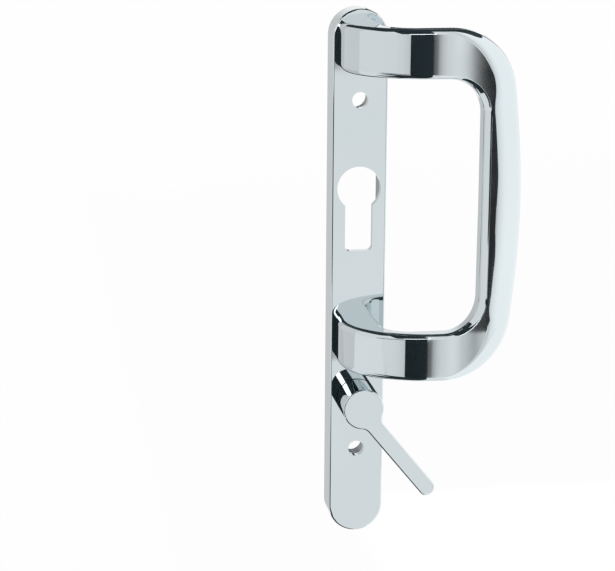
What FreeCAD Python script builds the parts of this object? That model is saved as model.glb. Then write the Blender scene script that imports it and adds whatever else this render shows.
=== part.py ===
import FreeCAD, Part

import math
import os

import Sketcher

# Patio door handle: a cranked D-shaped pull on a long narrow backplate, with a keyhole cut-out between
# the feet of the pull and a thumb lever below it.
# The origin is the middle of the backplate's back face, on the face of the door. +X runs across the door
# towards the grip, +Z is up, and the handle stands out of the door towards -Y.
# A size called "out" is a distance from the face of the door, and "rise" is one from the plate's face.

doc = FreeCAD.newDocument("patio_door_handle")
sheet = doc.addObject("Spreadsheet::Sheet", "sizes")

driving_sizes = {
    # backplate: a hollow casting with full round ends
    "plate_width": 22.0,
    "plate_length": 214.0,
    "plate_depth": 12.0,
    "plate_face": 3.0,
    "plate_wall": 2.0,
    "plate_edge_radius": 0.7,
    "plate_rib": 1.5,
    "plate_rib_recess": 2.0,
    # fixing holes, each through a tubular post that bears on the door. A margin is from the plate's end.
    "fixing_margin": 35.5,
    "fixing_hole": 6.4,
    "fixing_post": 12.0,
    "fixing_post_bore": 8.6,
    # profile cylinder cut-out: a round top over a straight slot
    "cylinder_height": 36.4,
    "cylinder_hole": 17.5,
    "cylinder_slot": 11.0,
    "cylinder_drop": 25.25,
    "cylinder_corner": 2.0,
    "cylinder_shoulder": 0.8,
    # pull: two feet, a crank out and to the side, and the D that the hand holds
    "upper_foot_margin": 13.9,
    "lower_foot_over_lever": 25.7,
    "arm_height": 18.8,
    "foot_inner": 7.0,
    "foot_outer": 9.0,
    "foot_corner": 3.0,
    "crank_straight": 7.0,
    "crank_run": 34.0,
    "crank_rise": 35.0,
    "crank_inner_radius": 10.0,
    "limb_depth": 8.0,
    "limb_corner": 1.8,
    "grip_inner_reach": 41.5,
    "grip_outer_reach": 57.9,
    "grip_depth": 11.5,
    "grip_rise": 35.5,
    "grip_bow_radius": 345.0,
    "grip_outer_corner": 26.0,
    "grip_inner_corner": 14.0,
    "grip_round_across": 12.0,
    "grip_round_deep": 8.0,
    "grip_facet_across": 2.6,
    "grip_facet_deep": 3.2,
    "grip_back_round": 3.4,
    # screws that hold the pull from behind
    "pull_screw": 5.0,
    "pull_screw_grip": 9.0,
    "pull_screw_head": 8.8,
    "pull_screw_head_depth": 2.8,
    "pull_screw_head_bevel": 0.5,
    "pull_screw_socket": 3.0,
    "pull_screw_socket_depth": 1.8,
    "pull_screw_hole": 5.5,
    "pull_boss": 12.0,
    "boss_recess": 5.0,
    "lock_washer_outer": 9.2,
    "lock_washer_thickness": 1.2,
    "lock_washer_slit": 0.9,
    # thumb lever: a round head on a neck, with a flat arm flush with its front
    "lever_margin": 56.8,
    "lever_rest_angle": 39.0,
    "lever_rise": 15.7,
    "lever_head": 16.4,
    "lever_neck": 11.0,
    "lever_neck_flats": 9.4,
    "lever_neck_recess": 0.7,
    "lever_arm_reach": 46.4,
    "lever_arm_width": 6.6,
    "lever_arm_depth": 4.0,
    "lever_arm_offset": 1.1,
    "lever_arm_blend": 4.0,
    "lever_edge_radius": 0.6,
    # bush, spring and stop in the plate behind the lever
    "lever_boss": 18.6,
    "bush_outer": 13.0,
    "bush_flange": 15.0,
    "bush_flange_depth": 0.5,
    "wave_inner": 11.6,
    "wave_outer": 13.6,
    "wave_thickness": 0.3,
    "wave_space": 1.0,
    "stop_washer": 13.6,
    "stop_washer_thickness": 1.5,
    "stop_lug_reach": 9.6,
    "stop_lug_width": 4.0,
    "stop_post_width": 2.6,
    "stop_post_length": 2.8,
    "stop_post_inner": 7.2,
    "circlip_outer": 13.4,
    "circlip_inner": 9.8,
    "circlip_thickness": 1.0,
    "circlip_gap": 2.6,
    "circlip_eye": 2.2,
    "circlip_eye_hole": 0.9,
    # spindle that works the lock, and the screw that keeps it in the lever
    "spindle_size": 6.0,
    "spindle_reach": 38.0,
    "spindle_chamfer": 0.8,
    "socket_rise": 11.0,
    "grub_screw": 4.0,
    "grub_screw_length": 4.4,
    "grub_screw_rise": 5.6,
    "grub_screw_socket": 2.0,
    # clearances
    "seat_gap": 0.05,
    "running_gap": 0.05,
    "stop_gap": 0.25,
}

# Heights over the plate's middle follow from the margins at its ends.
rules = {
    "fixing_spacing": "plate_length - 2 * fixing_margin",
    "lever_height": "lever_margin - plate_length / 2",
    "lower_foot_height": "lever_height + lower_foot_over_lever",
    "upper_foot_height": "plate_length / 2 - upper_foot_margin",
    "pull_spacing": "upper_foot_height - lower_foot_height",
    "pull_centre": "(upper_foot_height + lower_foot_height) / 2",
}

cells = {**driving_sizes, **{alias: f"={rule}" for alias, rule in rules.items()}}
for row, (alias, value) in enumerate(cells.items(), start=1):
    sheet.set(f"A{row}", alias)
    sheet.set(f"B{row}", str(value))
    sheet.setAlias(f"B{row}", alias)
doc.recompute()


def size(name):
    return float(sheet.get(name))


def on_sheet(expression):
    """Writes the sheet's name before each of its sizes in an expression."""
    words = []
    word = ""
    for letter in expression + " ":
        if letter.isalnum() or letter == "_":
            word += letter
            continue
        words.append("sizes." + word if word in cells else word)
        words.append(letter)
        word = ""
    return "".join(words).strip()


# Sketches: each one is symmetrical about its own origin, and its place comes from its attachment.

FRONT, TOP = "XZ_Plane", "XY_Plane"
ORIGIN = (-1, 1)


def new_body(label):
    body = doc.addObject("PartDesign::Body", label)
    body.Label = label
    return body


def new_sketch(body, name, plane=FRONT, across=None, up=None, out=None, turn=None):
    """A sketch on one of the body's own planes. On FRONT its normal points out of the door."""
    sketch = body.newObject("Sketcher::SketchObject", f"{body.Label}_{name}")
    sketch.AttachmentSupport = [(f, "") for f in body.Origin.OriginFeatures if f.Role == plane]
    sketch.MapMode = "FlatFace"
    if turn:
        sketch.AttachmentOffset = FreeCAD.Placement(
            FreeCAD.Vector(), FreeCAD.Rotation(FreeCAD.Vector(0, 0, 1), 1)
        )
        sketch.setExpression("AttachmentOffset.Rotation.Angle", on_sheet(turn))
    for axis, place in zip("xyz", (across, up, out)):
        if place:
            sketch.setExpression(f"AttachmentOffset.Base.{axis}", on_sheet(place))
    return sketch


def hold(sketch, name, expression, *constraint):
    """Adds a measured constraint and binds it to the sheet."""
    index = sketch.addConstraint(Sketcher.Constraint(*constraint))
    sketch.renameConstraint(index, name)
    sketch.setExpression(f"Constraints.{name}", on_sheet(expression))


def circle(sketch, diameter, name="diameter"):
    radius = value_of(diameter) / 2
    edge = sketch.addGeometry(Part.Circle(FreeCAD.Vector(), FreeCAD.Vector(0, 0, 1), radius), False)
    sketch.addConstraint(Sketcher.Constraint("Coincident", edge, 3, *ORIGIN))
    hold(sketch, name, diameter, "Diameter", edge, 2 * radius)


def value_of(expression):
    """The present value of an expression of sheet sizes, to start a sketch near its final shape."""
    result = sheet.evalExpression(on_sheet(expression))
    return float(getattr(result, "Value", result))


def closed_lines(sketch, points):
    """A closed chain of straight lines through the points."""
    lines = []
    for start, end in zip(points, points[1:] + points[:1]):
        segment = Part.LineSegment(FreeCAD.Vector(*start), FreeCAD.Vector(*end))
        lines.append(sketch.addGeometry(segment, False))
    for first, second in zip(lines, lines[1:] + lines[:1]):
        sketch.addConstraint(Sketcher.Constraint("Coincident", first, 2, second, 1))
    return lines


def rectangle(sketch, width, height):
    half_w, half_h = value_of(width) / 2, value_of(height) / 2
    corners = [(-half_w, -half_h, 0), (half_w, -half_h, 0), (half_w, half_h, 0), (-half_w, half_h, 0)]
    bottom, right, top, left = closed_lines(sketch, corners)
    for line in (bottom, top):
        sketch.addConstraint(Sketcher.Constraint("Horizontal", line))
    for line in (left, right):
        sketch.addConstraint(Sketcher.Constraint("Vertical", line))
    sketch.addConstraint(Sketcher.Constraint("Symmetric", bottom, 1, top, 1, *ORIGIN))
    hold(sketch, "width", width, "DistanceX", bottom, 1, bottom, 2, 2 * half_w)
    hold(sketch, "height", height, "DistanceY", right, 1, right, 2, 2 * half_h)


def round_ended_bar(sketch, width, length):
    """An upright bar with full round ends, centred on the sketch's origin."""
    radius = value_of(width) / 2
    centre = value_of(length) / 2 - radius
    axis = FreeCAD.Vector(0, 0, 1)
    top_circle = Part.Circle(FreeCAD.Vector(0, centre, 0), axis, radius)
    bottom_circle = Part.Circle(FreeCAD.Vector(0, -centre, 0), axis, radius)
    top = sketch.addGeometry(Part.ArcOfCircle(top_circle, 0, math.pi), False)
    left = sketch.addGeometry(
        Part.LineSegment(FreeCAD.Vector(-radius, centre, 0), FreeCAD.Vector(-radius, -centre, 0)), False
    )
    bottom = sketch.addGeometry(Part.ArcOfCircle(bottom_circle, math.pi, 2 * math.pi), False)
    right = sketch.addGeometry(
        Part.LineSegment(FreeCAD.Vector(radius, -centre, 0), FreeCAD.Vector(radius, centre, 0)), False
    )
    chain = [top, left, bottom, right]
    for first, second in zip(chain, chain[1:] + chain[:1]):
        sketch.addConstraint(Sketcher.Constraint("Tangent", first, 2, second, 1))
    sketch.addConstraint(Sketcher.Constraint("Vertical", left))
    sketch.addConstraint(Sketcher.Constraint("Symmetric", top, 3, bottom, 3, *ORIGIN))
    hold(sketch, "width", width, "Diameter", top, 2 * radius)
    hold(sketch, "straight", f"{length} - ({width})", "DistanceY", bottom, 3, top, 3, 2 * centre)


def two_flat_round(sketch, diameter, across_flats):
    """A circle cut by two upright flats."""
    radius, flat = value_of(diameter) / 2, value_of(across_flats) / 2
    rise = math.sqrt(radius**2 - flat**2)
    angle = math.atan2(rise, flat)
    ring = Part.Circle(FreeCAD.Vector(), FreeCAD.Vector(0, 0, 1), radius)
    top = sketch.addGeometry(Part.ArcOfCircle(ring, angle, math.pi - angle), False)
    left = sketch.addGeometry(
        Part.LineSegment(FreeCAD.Vector(-flat, rise, 0), FreeCAD.Vector(-flat, -rise, 0)), False
    )
    bottom = sketch.addGeometry(Part.ArcOfCircle(ring, math.pi + angle, 2 * math.pi - angle), False)
    right = sketch.addGeometry(
        Part.LineSegment(FreeCAD.Vector(flat, -rise, 0), FreeCAD.Vector(flat, rise, 0)), False
    )
    chain = [top, left, bottom, right]
    for first, second in zip(chain, chain[1:] + chain[:1]):
        sketch.addConstraint(Sketcher.Constraint("Coincident", first, 2, second, 1))
    for arc in (top, bottom):
        sketch.addConstraint(Sketcher.Constraint("Coincident", arc, 3, *ORIGIN))
    sketch.addConstraint(Sketcher.Constraint("Vertical", left))
    sketch.addConstraint(Sketcher.Constraint("Vertical", right))
    sketch.addConstraint(Sketcher.Constraint("Symmetric", left, 1, right, 1, *ORIGIN))
    hold(sketch, "diameter", diameter, "Diameter", top, 2 * radius)
    hold(sketch, "flats", across_flats, "DistanceX", top, 2, top, 1, 2 * flat)


def hexagon(sketch, across_flats):
    corner = value_of(across_flats) / 2 / math.cos(math.pi / 6)
    points = [
        (corner * math.cos(k * math.pi / 3), corner * math.sin(k * math.pi / 3), 0) for k in range(6)
    ]
    lines = closed_lines(sketch, points)
    guide = sketch.addGeometry(Part.Circle(FreeCAD.Vector(), FreeCAD.Vector(0, 0, 1), corner), True)
    sketch.addConstraint(Sketcher.Constraint("Coincident", guide, 3, *ORIGIN))
    for line in lines:
        sketch.addConstraint(Sketcher.Constraint("PointOnObject", line, 1, guide))
    for line in lines[1:]:
        sketch.addConstraint(Sketcher.Constraint("Equal", lines[0], line))
    sketch.addConstraint(Sketcher.Constraint("Horizontal", lines[1]))
    hold(sketch, "corners", f"{across_flats} / cos(30)", "Diameter", guide, 2 * corner)


# Features


def pad(body, sketch, length):
    feature = body.newObject("PartDesign::Pad", f"{sketch.Name}_pad")
    feature.Profile = sketch
    feature.setExpression("Length", on_sheet(length))
    sketch.Visibility = False
    doc.recompute()
    return feature


def cut(body, sketch, depth=None):
    """A pocket from the sketch against its normal, to a depth or right through."""
    feature = body.newObject("PartDesign::Pocket", f"{sketch.Name}_cut")
    feature.Profile = sketch
    before = body.Shape.Volume
    if depth:
        feature.setExpression("Length", on_sheet(depth))
    else:
        feature.Type = "ThroughAll"
    doc.recompute()
    if body.Shape.Volume >= before:
        raise ValueError(f"{feature.Name} cuts nothing")
    return feature


def edge_names(shape, wanted):
    return [f"Edge{n}" for n, edge in enumerate(shape.Edges, start=1) if wanted(edge)]


def dress_edges(body, name, kind, amount, wanted):
    """Rounds or bevels the edges of the body's last feature that the test picks."""
    last = body.Tip
    names = edge_names(last.Shape, wanted)
    if not names:
        raise ValueError(f"{name} found no edges")
    feature = body.newObject(f"PartDesign::{kind}", f"{body.Label}_{name}")
    feature.Base = (last, names)
    feature.setExpression("Radius" if kind == "Fillet" else "Size", on_sheet(amount))
    doc.recompute()


def round_edges(body, name, radius, wanted):
    dress_edges(body, name, "Fillet", radius, wanted)


def bevel_edges(body, name, width, wanted):
    dress_edges(body, name, "Chamfer", width, wanted)


def lies_out(edge, out):
    """Whether every end of the edge, and its middle, lies at this distance from the door."""
    middle = edge.valueAt((edge.FirstParameter + edge.LastParameter) / 2)
    points = [vertex.Point for vertex in edge.Vertexes] + [middle]
    return all(abs(-point.y - out) < 1e-4 for point in points)


def runs_out(edge):
    """Whether the edge is straight and square to the door."""
    ends = [vertex.Point for vertex in edge.Vertexes]
    if len(ends) != 2:
        return False
    across = math.hypot(ends[0].x - ends[1].x, ends[0].z - ends[1].z)
    return across < 1e-6 and abs(ends[0].y - ends[1].y) > 1e-3


# Backplate: one hollow casting. Behind its face are a rim, cross ribs, two fixing posts, two bosses for
# the screws of the pull and one for the lever's bush, with two stops for the lever.

plate = new_body("backplate")

outline = new_sketch(plate, "outline")
round_ended_bar(outline, "plate_width", "plate_length")
pad(plate, outline, "plate_depth")
round_edges(plate, "front_edge", "plate_edge_radius", lambda edge: lies_out(edge, size("plate_depth")))

hollow = new_sketch(plate, "hollow", out="plate_depth - plate_face")
round_ended_bar(hollow, "plate_width - 2 * plate_wall", "plate_length - 2 * plate_wall")
cut(plate, hollow)


def boss(name, diameter, up, recess, across=None):
    """A round boss on the inside of the face, ending short of the door by its recess."""
    sketch = new_sketch(plate, name, across=across, up=up, out=recess)
    circle(sketch, diameter)
    pad(plate, sketch, f"plate_depth - plate_face / 2 - ({recess})")


def hole(name, diameter, up, across=None, out="plate_depth"):
    sketch = new_sketch(plate, name, across=across, up=up, out=out)
    circle(sketch, diameter)
    cut(plate, sketch)


FOOT_CENTRE = "(foot_inner - foot_outer) / 2"
FOOT_HEIGHTS = {"upper": "upper_foot_height", "lower": "lower_foot_height"}
FIXING_HEIGHTS = {"upper": "fixing_spacing / 2", "lower": "-fixing_spacing / 2"}
CYLINDER_TOP = "cylinder_height + cylinder_hole / 2"
CYLINDER_BOTTOM = "cylinder_height - cylinder_drop"

rib_heights = {
    "top": f"({FOOT_HEIGHTS['upper']} + {FIXING_HEIGHTS['upper']}) / 2",
    "upper": f"({FIXING_HEIGHTS['upper']} + {CYLINDER_TOP}) / 2",
    "lower": f"({FOOT_HEIGHTS['lower']} + lever_height) / 2",
    "bottom": f"({FIXING_HEIGHTS['lower']} - plate_length / 2) / 2",
}
for place, height in rib_heights.items():
    rib = new_sketch(plate, f"rib_{place}", up=height, out="plate_rib_recess")
    rectangle(rib, "plate_width - plate_wall", "plate_rib")
    pad(plate, rib, "plate_depth - plate_face / 2 - plate_rib_recess")

# The middle rib is as deep as the rim and bears on the door.
middle_rib = new_sketch(plate, "rib_middle")
rectangle(middle_rib, "plate_width - plate_wall", "plate_rib")
pad(plate, middle_rib, "plate_depth - plate_face / 2")

for side, height in FIXING_HEIGHTS.items():
    post = new_sketch(plate, f"fixing_post_{side}", up=height)
    circle(post, "fixing_post")
    pad(plate, post, "plate_depth - plate_face / 2")
    hole(f"fixing_post_bore_{side}", "fixing_post_bore", height, out="plate_depth - plate_face")
    hole(f"fixing_hole_{side}", "fixing_hole", height)

for side, height in FOOT_HEIGHTS.items():
    boss(f"pull_boss_{side}", "pull_boss", height, "boss_recess", across=FOOT_CENTRE)
    hole(f"pull_hole_{side}", "pull_screw_hole", height, across=FOOT_CENTRE)

boss("lever_boss", "lever_boss", "lever_height", "boss_recess")
hole("lever_bore", "bush_outer + 2 * seat_gap", "lever_height")

# The stops stand on the lever's boss, one beside the lug of the stop washer at each end of its swing.
STOP_WASHER_OUT = "(boss_recess - wave_space - stop_washer_thickness)"
STOP_RADIUS = "(stop_post_inner + stop_post_length / 2)"
STOP_SIDE = "(stop_lug_width / 2 + stop_gap + stop_post_width / 2)"

stop = new_sketch(
    plate,
    "lever_stop",
    across=f"{STOP_RADIUS} * sin(lever_rest_angle) + {STOP_SIDE} * cos(lever_rest_angle)",
    up=f"lever_height - {STOP_RADIUS} * cos(lever_rest_angle) + {STOP_SIDE} * sin(lever_rest_angle)",
    out=STOP_WASHER_OUT,
    turn="lever_rest_angle",
)
rectangle(stop, "stop_post_width", "stop_post_length")
stop_pad = pad(plate, stop, f"boss_recess + plate_face / 2 - {STOP_WASHER_OUT}")
stops = plate.newObject("PartDesign::Mirrored", "backplate_lever_stops")
stops.Originals = [stop_pad]
stops.MirrorPlane = [(f, "") for f in plate.Origin.OriginFeatures if f.Role == "YZ_Plane"][0]
plate.Tip = stops
doc.recompute()

# The cut-out for the profile cylinder: the barrel's round top, then the straight slot with round corners.
hole("cylinder_round", "cylinder_hole", "cylinder_height")
slot = new_sketch(plate, "cylinder_slot", up="cylinder_height - cylinder_drop / 2", out="plate_depth")
rectangle(slot, "cylinder_slot", "cylinder_drop")
cut(plate, slot)


def slot_corner(edge):
    """A straight edge through the face at the foot of the cylinder's slot."""
    at = edge.Vertexes[0].Point
    return (
        runs_out(edge)
        and abs(at.z - value_of(CYLINDER_BOTTOM)) < 1e-4
        and abs(abs(at.x) - size("cylinder_slot") / 2) < 1e-4
    )


def slot_shoulder(edge):
    """A straight edge through the face where the slot leaves the round top."""
    at = edge.Vertexes[0].Point
    above_foot = at.z > value_of(CYLINDER_BOTTOM) + size("cylinder_corner")
    below_round = at.z < size("cylinder_height")
    return (
        runs_out(edge) and above_foot and below_round and abs(abs(at.x) - size("cylinder_slot") / 2) < 1e-4
    )


round_edges(plate, "cylinder_slot_corners", "cylinder_corner", slot_corner)
round_edges(plate, "cylinder_shoulders", "cylinder_shoulder", slot_shoulder)


# Pull: one casting, skinned over rounded four-sided sections along its route. The route is worked out
# in a plan (x, rise) for the crank and in a front view (x, z from the pull's middle) for the D.


# How far a corner's curve is drawn towards the corner: a quarter of an ellipse, or a flat facet.
ROUND, FACET = 4 / 3 * (math.sqrt(2) - 1), 0.25


def even_round(name):
    return size(name), size(name), ROUND


class Rounds:
    """The corners of a section, each as (across the arm, from back to front, round or facet)."""

    def __init__(self, front_outer, front_inner, back):
        self.front_outer = front_outer
        self.front_inner = front_inner
        self.back = back

    def toward(self, other, share):
        def mix(first, second):
            return tuple(a + (b - a) * share for a, b in zip(first, second))

        return Rounds(
            mix(self.front_outer, other.front_outer),
            mix(self.front_inner, other.front_inner),
            mix(self.back, other.back),
        )


def corner_poles(start, corner, end, drawn):
    """The poles of a cubic curve from start to end inside the corner, drawn this far towards it."""
    return [start, start + (corner - start) * drawn, end + (corner - end) * drawn, end]


def line_poles(start, end):
    return [start, start + (end - start) / 3, end + (start - end) / 3, end]


def pull_section(centre, outward, forward, width, depth, rounds):
    """A closed outline of four corners and four sides, each as the poles of a cubic curve.

    Outward points away from the D's middle, and forward from the back of the arm to its front.
    """

    def corner_of(side, face, across, deep, drawn):
        corner = centre + outward * (side * width / 2) + forward * (face * depth / 2)
        return corner_poles(
            corner - forward * (face * deep), corner, corner - outward * (side * across), drawn
        )

    front_outer = corner_of(1, 1, *rounds.front_outer)
    front_inner = corner_of(-1, 1, *rounds.front_inner)[::-1]
    back_inner = corner_of(-1, -1, *rounds.back)
    back_outer = corner_of(1, -1, *rounds.back)[::-1]
    corners = [front_outer, front_inner, back_inner, back_outer]
    outline = []
    for this, following in zip(corners, corners[1:] + corners[:1]):
        outline.append(this)
        outline.append(line_poles(this[-1], following[0]))
    return outline


def strip_face(strips, parameters):
    """The smooth face that one corner or side sweeps along the route, through all its sections."""
    rows = []
    for poles in zip(*strips):
        row = Part.BSplineCurve()
        row.interpolate(Points=list(poles), Parameters=parameters)
        rows.append(row)
    route = rows[0]
    face = Part.BSplineSurface()
    face.buildFromPolesMultsKnots(
        [row.getPoles() for row in rows],
        [4, 4], route.getMultiplicities(), [0, 1], route.getKnots(), False, False, 3, route.Degree,
    )
    return face.toShape()


def end_face(outline):
    edges = []
    for poles in outline:
        curve = Part.BezierCurve()
        curve.setPoles(poles)
        edges.append(curve.toShape())
    return Part.Face(Part.Wire(edges))


def skinned_solid(sections):
    """One solid whose skin runs smoothly through the sections, closed by a flat face at each end."""
    outlines = [pull_section(*section) for section in sections]
    parameters = [0.0]
    for before, after in zip(sections, sections[1:]):
        parameters.append(parameters[-1] + before[0].distanceToPoint(after[0]))
    faces = [strip_face(strips, parameters) for strips in zip(*outlines)]
    shell = Part.Shell(faces + [end_face(outlines[0]), end_face(outlines[-1])])
    shell.sewShape()
    solid = Part.Solid(shell)
    if solid.Volume < 0:
        solid.reverse()
    return solid


def in_frame(x, rise, z):
    """A point of the pull, from its plan and its height over the pull's middle."""
    return FreeCAD.Vector(x, -(size("plate_depth") + rise), z)


def crank_surface(x_or_rise, of_x):
    """The quarter ellipse of the crank's outside: the rise at an x, or the x at a rise."""
    run, straight = size("crank_run"), size("crank_straight")
    climb = size("crank_rise") - straight
    flat_x = run - size("foot_outer")
    if of_x:
        share = max(0.0, flat_x - x_or_rise) / run
        return straight + climb * math.sqrt(1 - share**2)
    share = max(0.0, x_or_rise - straight) / climb
    return flat_x - run * math.sqrt(1 - share**2)


def ray_to_ellipse(start, direction):
    """How far the crank's outside lies from a point of the plan, along a direction."""
    run = size("crank_run")
    climb = size("crank_rise") - size("crank_straight")
    flat_x = run - size("foot_outer")
    across = (start[0] - flat_x) / run, direction[0] / run
    along = (start[1] - size("crank_straight")) / climb, direction[1] / climb
    a = across[1] ** 2 + along[1] ** 2
    b = across[0] * across[1] + along[0] * along[1]
    c = across[0] ** 2 + along[0] ** 2 - 1
    return (-b + math.sqrt(b * b - a * c)) / a


def ray_to_circle(start, direction, centre, radius):
    offset = start[0] - centre[0], start[1] - centre[1]
    b = offset[0] * direction[0] + offset[1] * direction[1]
    c = offset[0] ** 2 + offset[1] ** 2 - radius**2
    return -b + math.sqrt(b * b - c)


def crank_sections():
    """From the foot on the plate, out and round to the limb: pairs of plan points, inner then outer."""
    inner, radius = size("foot_inner"), size("crank_inner_radius")
    back_rise = size("crank_rise") - size("limb_depth")
    bend = (inner + radius, back_rise - radius)
    pairs = []
    for rise in (0.0, size("crank_straight") / 2, size("crank_straight")):
        pairs.append(((inner, rise), (-size("foot_outer"), rise)))
    middle_rise = (size("crank_straight") + bend[1]) / 2
    pairs.append(((inner, middle_rise), (crank_surface(middle_rise, False), middle_rise)))
    for step in range(5):
        angle = math.pi - step * math.pi / 8
        direction = (math.cos(angle), math.sin(angle))
        reach = ray_to_ellipse(bend, direction)
        pairs.append((
            (bend[0] + radius * direction[0], bend[1] + radius * direction[1]),
            (bend[0] + reach * direction[0], bend[1] + reach * direction[1]),
        ))
    limb_x = (bend[0] + corner_centre()[0]) / 2
    pairs.append(((limb_x, back_rise), (limb_x, crank_surface(limb_x, True))))
    return pairs


def corner_centre():
    """The middle of the D's inner corner, in the front view."""
    radius = size("grip_inner_corner")
    inner_edge = (size("pull_spacing") - size("arm_height")) / 2
    return size("grip_inner_reach") - radius, inner_edge - radius


def outer_reach(direction):
    """The D's outline along a ray from the inner corner's centre: a round corner, then a slow bow."""
    top = (size("pull_spacing") + size("arm_height")) / 2
    bow, round_corner = size("grip_bow_radius"), size("grip_outer_corner")
    bow_centre = (size("grip_outer_reach") - bow, 0.0)
    rise = top - round_corner
    centre_x = bow_centre[0] + math.sqrt((bow - round_corner) ** 2 - rise**2)
    start = corner_centre()
    on_corner = ray_to_circle(start, direction, (centre_x, rise), round_corner)
    point = start[0] + on_corner * direction[0], start[1] + on_corner * direction[1]
    join_slope = rise / (centre_x - bow_centre[0])
    if point[0] < centre_x:
        return (top - start[1]) / direction[1]
    if point[1] - rise > (point[0] - centre_x) * join_slope:
        return on_corner
    return ray_to_circle(start, direction, bow_centre, bow)


def half_sections():
    """The sections of the upper half, from its foot to the middle of the grip."""
    foot = Rounds(*[even_round("foot_corner")] * 3)
    limb = Rounds(*[even_round("limb_corner")] * 3)
    grip = Rounds(
        (size("grip_round_across"), size("grip_round_deep"), ROUND),
        (size("grip_facet_across"), size("grip_facet_deep"), FACET),
        even_round("grip_back_round"),
    )
    sections = []
    up = FreeCAD.Vector(0, 0, 1)
    pairs = crank_sections()
    for step, (inner, outer) in enumerate(pairs):
        back = in_frame(*inner, size("pull_spacing") / 2)
        front = in_frame(*outer, size("pull_spacing") / 2)
        middle = (back + front) * 0.5
        forward = (front - back).normalize()
        depth = math.dist(inner, outer)
        rounds = foot.toward(limb, step / (len(pairs) - 1))
        sections.append((middle, up, forward, size("arm_height"), depth, rounds))
    start = corner_centre()
    inner_radius = size("grip_inner_corner")
    forward = FreeCAD.Vector(0, -1, 0)
    turns = 6
    for step in range(turns + 1):
        angle = math.pi / 2 * (1 - step / turns)
        direction = (math.cos(angle), math.sin(angle))
        share = (1 - math.cos(math.pi * step / turns)) / 2
        depth = size("limb_depth") + (size("grip_depth") - size("limb_depth")) * share
        front_rise = size("crank_rise") + (size("grip_rise") - size("crank_rise")) * share
        reach = outer_reach(direction)
        along = (inner_radius + reach) / 2
        middle = in_frame(
            start[0] + along * direction[0], front_rise - depth / 2, start[1] + along * direction[1]
        )
        outward = FreeCAD.Vector(direction[0], 0, direction[1])
        sections.append((middle, outward, forward, reach - inner_radius, depth, limb.toward(grip, share)))
    side = FreeCAD.Vector(1, 0, 0)
    bow_centre = size("grip_outer_reach") - size("grip_bow_radius")
    for height in (start[1] * 2 / 3, start[1] / 3, 0.0):
        outer_x = bow_centre + math.sqrt(size("grip_bow_radius") ** 2 - height**2)
        width = outer_x - size("grip_inner_reach")
        middle = in_frame(outer_x - width / 2, size("grip_rise") - size("grip_depth") / 2, height)
        sections.append((middle, side, forward, width, size("grip_depth"), grip))
    return sections


def mirrored(vector):
    return FreeCAD.Vector(vector.x, vector.y, -vector.z)


upper_half = half_sections()
lower_half = [
    (mirrored(middle), mirrored(outward), mirrored(forward), width, depth, rounds)
    for middle, outward, forward, width, depth, rounds in reversed(upper_half[:-1])
]
pull_form = doc.addObject("Part::Feature", "pull_form")
pull_form.Shape = skinned_solid(upper_half + lower_half)
pull_form.Placement = FreeCAD.Placement(
    FreeCAD.Vector(0, 0, size("pull_centre")), FreeCAD.Rotation()
)

tapped_holes = []
for side, height in FOOT_HEIGHTS.items():
    tapped = doc.addObject("Part::Cylinder", f"tapped_hole_{side}")
    tapped.setExpression("Radius", on_sheet("pull_screw / 2 + seat_gap"))
    tapped.setExpression("Height", on_sheet("pull_screw_grip + 1.5 * pull_screw"))
    tapped.Placement = FreeCAD.Placement(
        FreeCAD.Vector(), FreeCAD.Rotation(FreeCAD.Vector(1, 0, 0), 90)
    )
    tapped.setExpression("Placement.Base.x", on_sheet(FOOT_CENTRE))
    tapped.setExpression("Placement.Base.y", on_sheet("-(plate_depth - pull_screw)"))
    tapped.setExpression("Placement.Base.z", on_sheet(height))
    tapped_holes.append(tapped)
tapped_pair = doc.addObject("Part::MultiFuse", "tapped_holes")
tapped_pair.Shapes = tapped_holes
pull = doc.addObject("Part::Cut", "pull_handle")
pull.Base = pull_form
pull.Tool = tapped_pair
pull.Label = "pull_handle"
doc.recompute()


# Screws and split washers that hold the pull from behind the plate


def pull_screw(side, height):
    body = new_body(f"pull_screw_{side}")
    head_out = "(boss_recess - lock_washer_thickness - pull_screw_head_depth)"
    head = new_sketch(body, "head", across=FOOT_CENTRE, up=height, out=head_out)
    circle(head, "pull_screw_head")
    pad(body, head, "pull_screw_head_depth")
    bevel_edges(body, "head_edge", "pull_screw_head_bevel", lambda edge: lies_out(edge, value_of(head_out)))
    shank = new_sketch(body, "shank", across=FOOT_CENTRE, up=height, out=head_out)
    circle(shank, "pull_screw")
    pad(body, shank, f"plate_depth + pull_screw_grip - {head_out}")
    drive = new_sketch(
        body, "drive", across=FOOT_CENTRE, up=height, out=f"{head_out} + pull_screw_socket_depth"
    )
    hexagon(drive, "pull_screw_socket")
    cut(body, drive)
    return body


def lock_washer(side, height):
    """A ring split on one side, flattened under the screw's head."""
    body = new_body(f"pull_washer_{side}")
    washer_out = "boss_recess - lock_washer_thickness"
    ring = new_sketch(body, "ring", across=FOOT_CENTRE, up=height, out=washer_out)
    circle(ring, "lock_washer_outer", "outer")
    circle(ring, "pull_screw + 2 * seat_gap", "inner")
    pad(body, ring, "lock_washer_thickness")
    slit = new_sketch(
        body, "slit", across=FOOT_CENTRE, up=f"{height} + lock_washer_outer / 2", out="boss_recess"
    )
    rectangle(slit, "lock_washer_slit", "lock_washer_outer / 2")
    cut(body, slit)
    return body


pull_fasteners = []
for side, height in FOOT_HEIGHTS.items():
    pull_fasteners.append(pull_screw(side, height))
    pull_fasteners.append(lock_washer(side, height))


# Bush: a plain nylon sleeve pressed into the plate, with a thin flange that the lever's head turns on

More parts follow.
